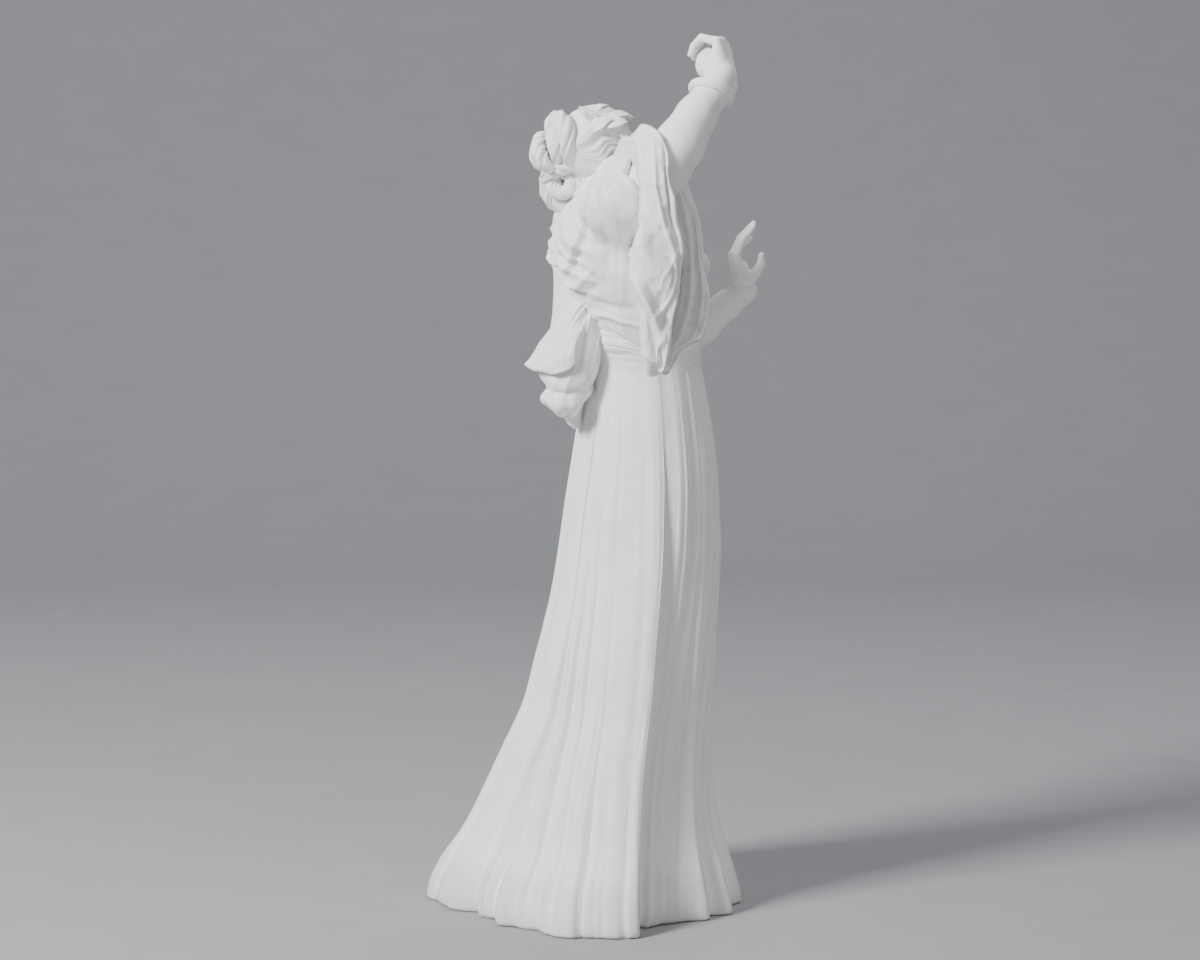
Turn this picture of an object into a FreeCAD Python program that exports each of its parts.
"""Standing dancer in unglazed (biscuit) porcelain: separately moulded pieces, luted together.

Frame: millimetres, +Z up, foot plane at z = 0, origin under the middle of the whole figure.
The dancer faces a little to +Y of +X, and the train of the skirt lies towards -X and -Y.
Every piece is first made whole, and then cut by the neighbours that it is luted to, so that
the pieces meet face to face; tenons stand in sockets of their own shape.
"""
import FreeCAD
import Part
import os

HIPS = 125.0        # heading in degrees of the hips' wide axis
CHEST = 111.0       # heading of the shoulders' wide axis: the chest is turned on the hips

# Level rings: x, y, z, half width, half depth, heading of the wide axis.
SKIRT_RINGS = (
    (-11, -5, 0, 92, 91, HIPS),
    (-11, -4, 14, 88, 86, HIPS),
    (-5, 0, 41, 76, 74, HIPS),
    (4, 4, 89, 62, 59, HIPS),
    (14, 8, 136, 55, 51, HIPS),
    (21, 10, 183, 51, 47, HIPS),
    (25, 11, 229, 48, 43, HIPS),
    (26, 11, 276, 43, 37, HIPS),
    (24, 9, 318, 36, 30, HIPS),
)
TORSO_RINGS = (
    (24, 9, 318, 36, 30, HIPS),
    (22, 8, 335, 38, 31, 121),
    (18, 4, 360, 41, 32, 116),
    (14, 1, 384, 44, 31, CHEST),
    (10, 0, 400, 43, 25, CHEST),
    (7, -1, 411, 27, 18, CHEST),
    (6, -2, 417, 15, 14, CHEST),
)
TORSO_HOLLOW_RINGS = (
    (24, 9, 292, 22, 16, HIPS),
    (22, 8, 335, 24, 18, 121),
    (14, 1, 380, 20, 14, CHEST),
)
SASH_RINGS = (
    (24.5, 9, 304, 42, 36, HIPS),
    (24, 9, 318, 41, 35, HIPS),
    (22, 8, 332, 43, 36, 121),
    (21, 7, 344, 43, 35, 119),
)
DRAPE_RINGS = (
    (20, 6, 334, 43, 36, 121),
    (12, 1, 360, 47, 40, 116),
    (7, -1, 384, 50, 39, CHEST),
    (5, -1, 400, 47, 32, CHEST),
    (5, -2, 412, 27, 20, CHEST),
)
RIGHT_SLEEVE_RINGS = (
    (34, -84, 447, 14, 9, 70),
    (38, -82, 430, 24, 17, 80),
    (39, -80, 400, 29, 19, 85),
    (39, -79, 370, 28, 20, 90),
    (39, -79, 340, 23, 17, 90),
    (38, -80, 316, 11, 8, 90),
)
RIGHT_SLEEVE_FOLD = (
    (46, -83, 440, 12, 8, 80),
    (50, -80, 420, 20, 17, 85),
    (53, -77, 390, 24, 19, 90),
    (53, -76, 355, 22, 18, 90),
    (52, -77, 330, 14, 12, 90),
)
LEFT_SLEEVE_RINGS = (
    (-14, 37, 407, 12, 10, CHEST),
    (-13, 36, 390, 19, 17, CHEST),
    (-11, 32, 365, 22, 18, CHEST),
    (-10, 28, 348, 21, 15, CHEST),
)
SLEEVE_TAIL_RINGS = (
    (-13, 12, 348, 9, 7, 160),
    (-17, 6, 331, 14, 10, 165),
    (-21, -3, 313, 19, 12, 170),
    (-21, -3, 296, 15, 10, 175),
    (-18, 2, 279, 8, 6, 180),
)

# Round rings along a limb: x, y, z, radius.
RIGHT_UPPER_ARM = ((4, -18, 399, 11), (13, -42, 406, 17), (25, -67, 416, 16.5), (37, -88, 428, 15))
RIGHT_FOREARM = ((37, -88, 428, 15), (46, -80, 444, 14), (58, -68, 465, 10.5), (63, -61, 474, 9.5))
LEFT_UPPER_ARM = ((-13, 32, 399, 12), (-2, 42, 376, 14), (14, 50, 347, 13.5), (33.5, 57, 316, 12))
LEFT_FOREARM = ((33.5, 57, 316, 12), (52, 46, 328, 12), (76, 34, 347, 8.5), (86, 30, 354, 7.5))
NECK = ((5, -1, 396, 12), (6, -1, 417, 12.5), (5, -1, 434, 13.5))

# Egg shapes: x, y, z, half length along its own axis, half width, half depth, then the
# direction of that axis.
HEAD_LUMPS = {
    "skull": (-2, -4, 439, 25, 23, 25, (-0.25, -0.15, 0.95)),
    "face": (9, 2, 436, 24, 18, 19, (-0.10, -0.05, 0.98)),
}
BUN_LUMPS = {
    "bun_upper": (-25, -13, 448, 13, 10, 9, (0.35, 0.1, 0.93)),
    "bun_outer": (-34, -13, 440, 8, 6.5, 6.5, (0, 0, 1)),
}
KNOT_LUMP = (-20, -6, 417, 14, 11.2, 10.8, (0.8, 0.2, -0.55))
RIGHT_HAND_LUMPS = {
    "back_of_hand": (64, -57, 486, 13, 11.5, 8, (-0.45, 0.3, 0.84)),
    "curled_fingers": (56, -51, 486, 12, 8, 7, (-0.25, 0.1, -0.96)),
}
LEFT_HAND_LUMPS = {
    "palm": (87, 27, 364, 12, 6, 9, (0.05, -0.3, 0.95)),
    "fingers": (86, 24, 378, 14, 5, 7.5, (0.1, -0.3, 0.95)),
    "thumb": (95, 22, 369, 9, 3, 3, (0.05, -0.2, 0.97)),
}
# Applied leaves of the hair spray: x, y, z and direction of each leaf.
LEAVES = (
    (-10, -12, 461, (0.25, -0.2, 0.95)),
    (-3, -16, 459, (0.7, -0.25, 0.6)),
    (6, -16, 456, (0.95, -0.15, -0.1)),
    (14, -12, 449, (0.8, 0.2, -0.5)),
    (2, -4, 463, (0.9, 0.4, 0.1)),
)

doc = FreeCAD.newDocument("DancerFigurine")
sheet = doc.addObject("Spreadsheet::Sheet", "Sizes")
pieces = []
used_rows = 0


def size(alias, value):
    """Write one driving size into the sheet under an alias and give its expression."""
    global used_rows
    used_rows += 1
    sheet.set(f"A{used_rows}", alias)
    sheet.set(f"B{used_rows}", str(float(value)))
    sheet.setAlias(f"B{used_rows}", alias)
    return f"Sizes.{alias}"


def place(item, stem, centre, rotation):
    """Bind an object's position to its own cells, moved with the whole figure."""
    item.Placement = FreeCAD.Placement(FreeCAD.Vector(*centre), rotation)
    for axis, value in zip("xyz", centre):
        cell = size(f"{stem}_at_{axis}", value)
        move = "" if axis == "z" else f" + Sizes.figure_move_{axis}"
        item.setExpression(f"Placement.Base.{axis}", cell + move)


def bind(item, prop, alias, value):
    """Bind one property to a cell of its own."""
    item.setExpression(prop, size(alias, value))


def ring_loft(name, rows):
    """A solid lofted through level ellipses."""
    rings = []
    for count, (x, y, z, wide, deep, heading) in enumerate(rows, 1):
        stem = f"{name}_ring_{count}"
        ring = doc.addObject("Part::Ellipse", stem)
        bind(ring, "MajorRadius", f"{stem}_wide", wide)
        bind(ring, "MinorRadius", f"{stem}_deep", deep)
        place(ring, stem, (x, y, z), FreeCAD.Rotation(FreeCAD.Vector(0, 0, 1), heading))
        rings.append(ring)
    return loft(name, rings)


def inner_ring_loft(name, outer_name, rows, past_ends):
    """The hollow of a ring loft, one wall thickness inside it and open at both ends."""
    rings = []
    last = len(rows)
    for count, (x, y, z, wide, deep, heading) in enumerate(rows, 1):
        z += past_ends * ((count == last) - (count == 1))
        ring = doc.addObject("Part::Ellipse", f"{name}_ring_{count}")
        for prop, side in (("MajorRadius", "wide"), ("MinorRadius", "deep")):
            outer = f"Sizes.{outer_name}_ring_{count}_{side}"
            ring.setExpression(prop, f"{outer} - Sizes.wall_thickness")
        turn = FreeCAD.Rotation(FreeCAD.Vector(0, 0, 1), heading)
        place(ring, f"{name}_ring_{count}", (x, y, z), turn)
        rings.append(ring)
    return loft(name, rings)


def loft(name, rings):
    """A solid through rings that are already placed."""
    item = doc.addObject("Part::Loft", name)
    item.Sections = rings
    item.Solid = True
    return item


def limb_loft(name, rows):
    """A solid lofted through circles that stand square to the limb's own line."""
    points = [FreeCAD.Vector(*row[:3]) for row in rows]
    rings = []
    for count, (x, y, z, radius) in enumerate(rows, 1):
        stem = f"{name}_ring_{count}"
        ring = doc.addObject("Part::Circle", stem)
        bind(ring, "Radius", f"{stem}_radius", radius)
        before = points[max(count - 2, 0)]
        after = points[min(count, len(points) - 1)]
        turn = FreeCAD.Rotation(FreeCAD.Vector(0, 0, 1), after - before)
        place(ring, stem, (x, y, z), turn)
        rings.append(ring)
    return loft(name, rings)


def egg(name, row):
    """An ellipsoid with its long axis along a given direction."""
    x, y, z, long_half, wide, deep, direction = row
    item = doc.addObject("Part::Ellipsoid", name)
    bind(item, "Radius1", f"{name}_long", long_half)
    bind(item, "Radius2", f"{name}_wide", wide)
    bind(item, "Radius3", f"{name}_deep", deep)
    turn = FreeCAD.Rotation(FreeCAD.Vector(0, 0, 1), FreeCAD.Vector(*direction))
    place(item, name, (x, y, z), turn)
    return item


def ball(name, centre, radius):
    item = doc.addObject("Part::Sphere", name)
    bind(item, "Radius", f"{name}_radius", radius)
    place(item, name, centre, FreeCAD.Rotation())
    return item


def peg(name, start, end, radius):
    """A round tenon from one point to another."""
    line = FreeCAD.Vector(*end) - FreeCAD.Vector(*start)
    item = doc.addObject("Part::Cylinder", name)
    bind(item, "Radius", f"{name}_radius", radius)
    bind(item, "Height", f"{name}_length", round(line.Length, 2))
    place(item, name, start, FreeCAD.Rotation(FreeCAD.Vector(0, 0, 1), line))
    return item


def hoop(name, centre, direction, ring_radius, wire_radius):
    item = doc.addObject("Part::Torus", name)
    bind(item, "Radius1", f"{name}_ring", ring_radius)
    bind(item, "Radius2", f"{name}_wire", wire_radius)
    turn = FreeCAD.Rotation(FreeCAD.Vector(0, 0, 1), FreeCAD.Vector(*direction))
    place(item, name, centre, turn)
    return item


def block(name, corner, sides, heading=0.0, tilt_axis=(1, 0, 0), tilt=0.0):
    """A cutting block: its corner, its three sides, a heading and then a tilt."""
    item = doc.addObject("Part::Box", name)
    for prop, value in zip(("Length", "Width", "Height"), sides):
        bind(item, prop, f"{name}_{prop.lower()}", value)
    turn = FreeCAD.Rotation(FreeCAD.Vector(0, 0, 1), heading)
    turn = turn * FreeCAD.Rotation(FreeCAD.Vector(*tilt_axis), tilt)
    place(item, name, corner, turn)
    return item


def fuse(name, *items):
    item = doc.addObject("Part::MultiFuse", name)
    item.Shapes = list(items)
    return item


def common(name, base, tool):
    item = doc.addObject("Part::Common", name)
    item.Base = base
    item.Tool = tool
    return item


def cut(name, base, *tools):
    """Cut the base by one tool after another."""
    for count, tool in enumerate(tools, 1):
        item = doc.addObject("Part::Cut", name if count == len(tools) else f"{name}_cut_{count}")
        item.Base = base
        item.Tool = tool
        base = item
    return base


def piece(item, node):
    """Hand a finished object in as one named sub-part."""
    item.Label = node
    pieces.append(item)


size("figure_move_x", 2.15)
size("figure_move_y", 11.14)
size("wall_thickness", 5.0)

# The whole bodies, before any piece is cut by its neighbours.
skirt_outside = ring_loft("SkirtOutside", SKIRT_RINGS)
skirt_inside = inner_ring_loft("SkirtInside", "SkirtOutside", SKIRT_RINGS, past_ends=1.0)
torso = ring_loft("Torso", TORSO_RINGS)
spigot = ring_loft("WaistSpigot", ((24, 9, 298, 27, 21, HIPS), (24, 9, 322, 30, 24, HIPS)))
sash_outside = ring_loft("SashOutside", SASH_RINGS)
drape_outside = ring_loft("DrapeOutside", DRAPE_RINGS)
left_sleeve_whole = ring_loft("LeftSleeveWhole", LEFT_SLEEVE_RINGS)
tail_whole = ring_loft("SleeveTailWhole", SLEEVE_TAIL_RINGS)
right_sleeve_outside = ring_loft("RightSleeveOutside", RIGHT_SLEEVE_RINGS)
right_sleeve_fold = ring_loft("RightSleeveFold", RIGHT_SLEEVE_FOLD)
right_arm_whole = fuse(
    "RightArmWhole",
    limb_loft("RightUpperArm", RIGHT_UPPER_ARM),
    ball("RightElbow", RIGHT_FOREARM[0][:3], RIGHT_FOREARM[0][3] + 0.8),
    limb_loft("RightForearm", RIGHT_FOREARM),
)
left_arm_whole = fuse(
    "LeftArmWhole",
    limb_loft("LeftUpperArm", LEFT_UPPER_ARM),
    ball("LeftElbow", LEFT_FOREARM[0][:3], LEFT_FOREARM[0][3] + 0.8),
    limb_loft("LeftForearm", LEFT_FOREARM),
)
head_whole = fuse(
    "HeadWhole",
    *(egg(name, row) for name, row in HEAD_LUMPS.items()),
    limb_loft("Neck", NECK),
)
bun_whole = fuse("BunWhole", *(egg(name, row) for name, row in BUN_LUMPS.items()))
knot_whole = egg("KnotWhole", KNOT_LUMP)
collar_whole = hoop("CollarWhole", (5, -2, 413), (0.1, 0.05, 0.99), 16.5, 4.5)
bangle_whole = hoop("BangleWhole", (61.5, -64.5, 470), (-0.36, -0.42, -0.83), 10.8, 2.4)
right_hand_whole = fuse("RightHandWhole", *(egg(n, row) for n, row in RIGHT_HAND_LUMPS.items()))
left_hand_whole = fuse("LeftHandWhole", *(egg(n, row) for n, row in LEFT_HAND_LUMPS.items()))

# Tenons that locate the small pieces while the slip sets.
bun_peg = peg("BunPeg", (-26, -13, 446), (-13, -8, 442), 3.5)
knot_peg = peg("KnotPeg", (-20, -6, 418), (-6, -3, 428), 3.5)
right_wrist_peg = peg("RightWristPeg", (58, -73, 459), (65, -57, 480), 4.0)
left_wrist_peg = peg("LeftWristPeg", (78, 33.5, 348), (88, 28.5, 360), 3.5)

# Head and hair.
leaf_lumps = []
for count, (x, y, z, direction) in enumerate(LEAVES, 1):
    leaf_lumps.append(egg(f"Leaf{count}", (x, y, z, 8, 3.2, 2.2, direction)))
leaves_whole = fuse("LeavesWhole", *leaf_lumps)
piece(cut("Head", head_whole, bun_peg, knot_peg), "head")
bun_seated = cut("BunSeated", bun_whole, head_whole, leaves_whole)
piece(fuse("Bun", bun_seated, bun_peg), "chignon_bun")
knot_seated = cut("KnotSeated", knot_whole, head_whole)
piece(fuse("NapeKnot", knot_seated, knot_peg), "nape_knot")
piece(cut("HairLeaves", leaves_whole, head_whole), "hair_leaves")

# Arms, hands and bangle.
piece(cut("RightArm", right_arm_whole, right_wrist_peg), "right_arm")
hand_seated = cut("RightHandSeated", right_hand_whole, right_arm_whole)
piece(fuse("RightHand", hand_seated, right_wrist_peg), "right_hand")
piece(cut("Bangle", bangle_whole, right_arm_whole, right_hand_whole), "bangle")
piece(cut("LeftArm", left_arm_whole, left_wrist_peg), "left_arm")
left_hand_seated = cut("LeftHandSeated", left_hand_whole, left_arm_whole)
piece(fuse("LeftHand", left_hand_seated, left_wrist_peg), "left_hand")

# Hollow torso with its spigot, and sockets for the neck and both arms.
torso_whole = fuse("TorsoWhole", torso, spigot)
torso_hollow = ring_loft("TorsoHollow", TORSO_HOLLOW_RINGS)
piece(cut("Bodice", torso_whole, torso_hollow, head_whole, right_arm_whole, left_arm_whole,
          knot_whole), "bodice")
piece(cut("Collar", collar_whole, torso, head_whole, knot_whole, right_arm_whole), "collar")

# The drape hangs over the back only: one block takes the front, one the slanting lower edge.
drape_front = block("DrapeFront", (18, -68, 300), (120, 150, 150), heading=24.0)
drape_low = block("DrapeLow", (-80, -100, 285), (220, 220, 50), heading=-34.0,
                  tilt_axis=(0, 1, 0), tilt=14.0)
back_drape = cut("BackDrape", drape_outside, drape_front, drape_low, torso, head_whole,
                 knot_whole, collar_whole, right_arm_whole, left_sleeve_whole, sash_outside)
piece(back_drape, "back_drape")
piece(cut("Sash", sash_outside, torso, skirt_outside, left_arm_whole), "sash")

# Sleeves.
right_sleeve_round_arm = cut("RightSleeveRoundArm", right_sleeve_outside, right_arm_whole)
right_sleeve_open = cut("RightSleeveOpen", right_sleeve_round_arm, right_sleeve_fold)
piece(cut("RightSleeve", right_sleeve_open, drape_outside, torso), "right_sleeve")
piece(cut("LeftSleeve", left_sleeve_whole, left_arm_whole, torso), "left_sleeve")
piece(cut("SleeveTail", tail_whole, skirt_outside, sash_outside, torso, back_drape),
      "left_sleeve_tail")

# Skirt: two press-moulded half shells, open at the foot, parted down both sides.
skirt_shell = cut("SkirtShell", skirt_outside, skirt_inside, spigot)
front_half = block("SkirtFrontHalf", (32, -140, -8), (260, 260, 360), heading=17.0,
                   tilt_axis=(0, 1, 0), tilt=5.7)
piece(common("SkirtFront", skirt_shell, front_half), "skirt_front")
piece(cut("SkirtBack", skirt_shell, front_half), "skirt_back")

doc.recompute()
failed = [item.Name for item in doc.Objects if {"Invalid", "Error"} & set(item.State)]
if failed:
    raise RuntimeError(f"these objects failed: {failed}")
whole_box = FreeCAD.BoundBox()
for item in pieces:
    shape = item.Shape
    if shape.isNull() or not shape.isValid():
        raise RuntimeError(f"{item.Label} has no valid shape")
    box = shape.optimalBoundingBox(False)
    whole_box.add(box)
    print(f"{item.Label:18s} solids {len(shape.Solids)} volume {shape.Volume / 1000:8.2f} cm3"
          f"  x {box.XMin:7.1f} {box.XMax:7.1f}  y {box.YMin:7.1f} {box.YMax:7.1f}"
          f"  z {box.ZMin:7.1f} {box.ZMax:7.1f}")
print("whole", whole_box)

os.makedirs("parts", exist_ok=True)
for item in pieces:
    item.Shape.exportStep(f"parts/{item.Label}.step")
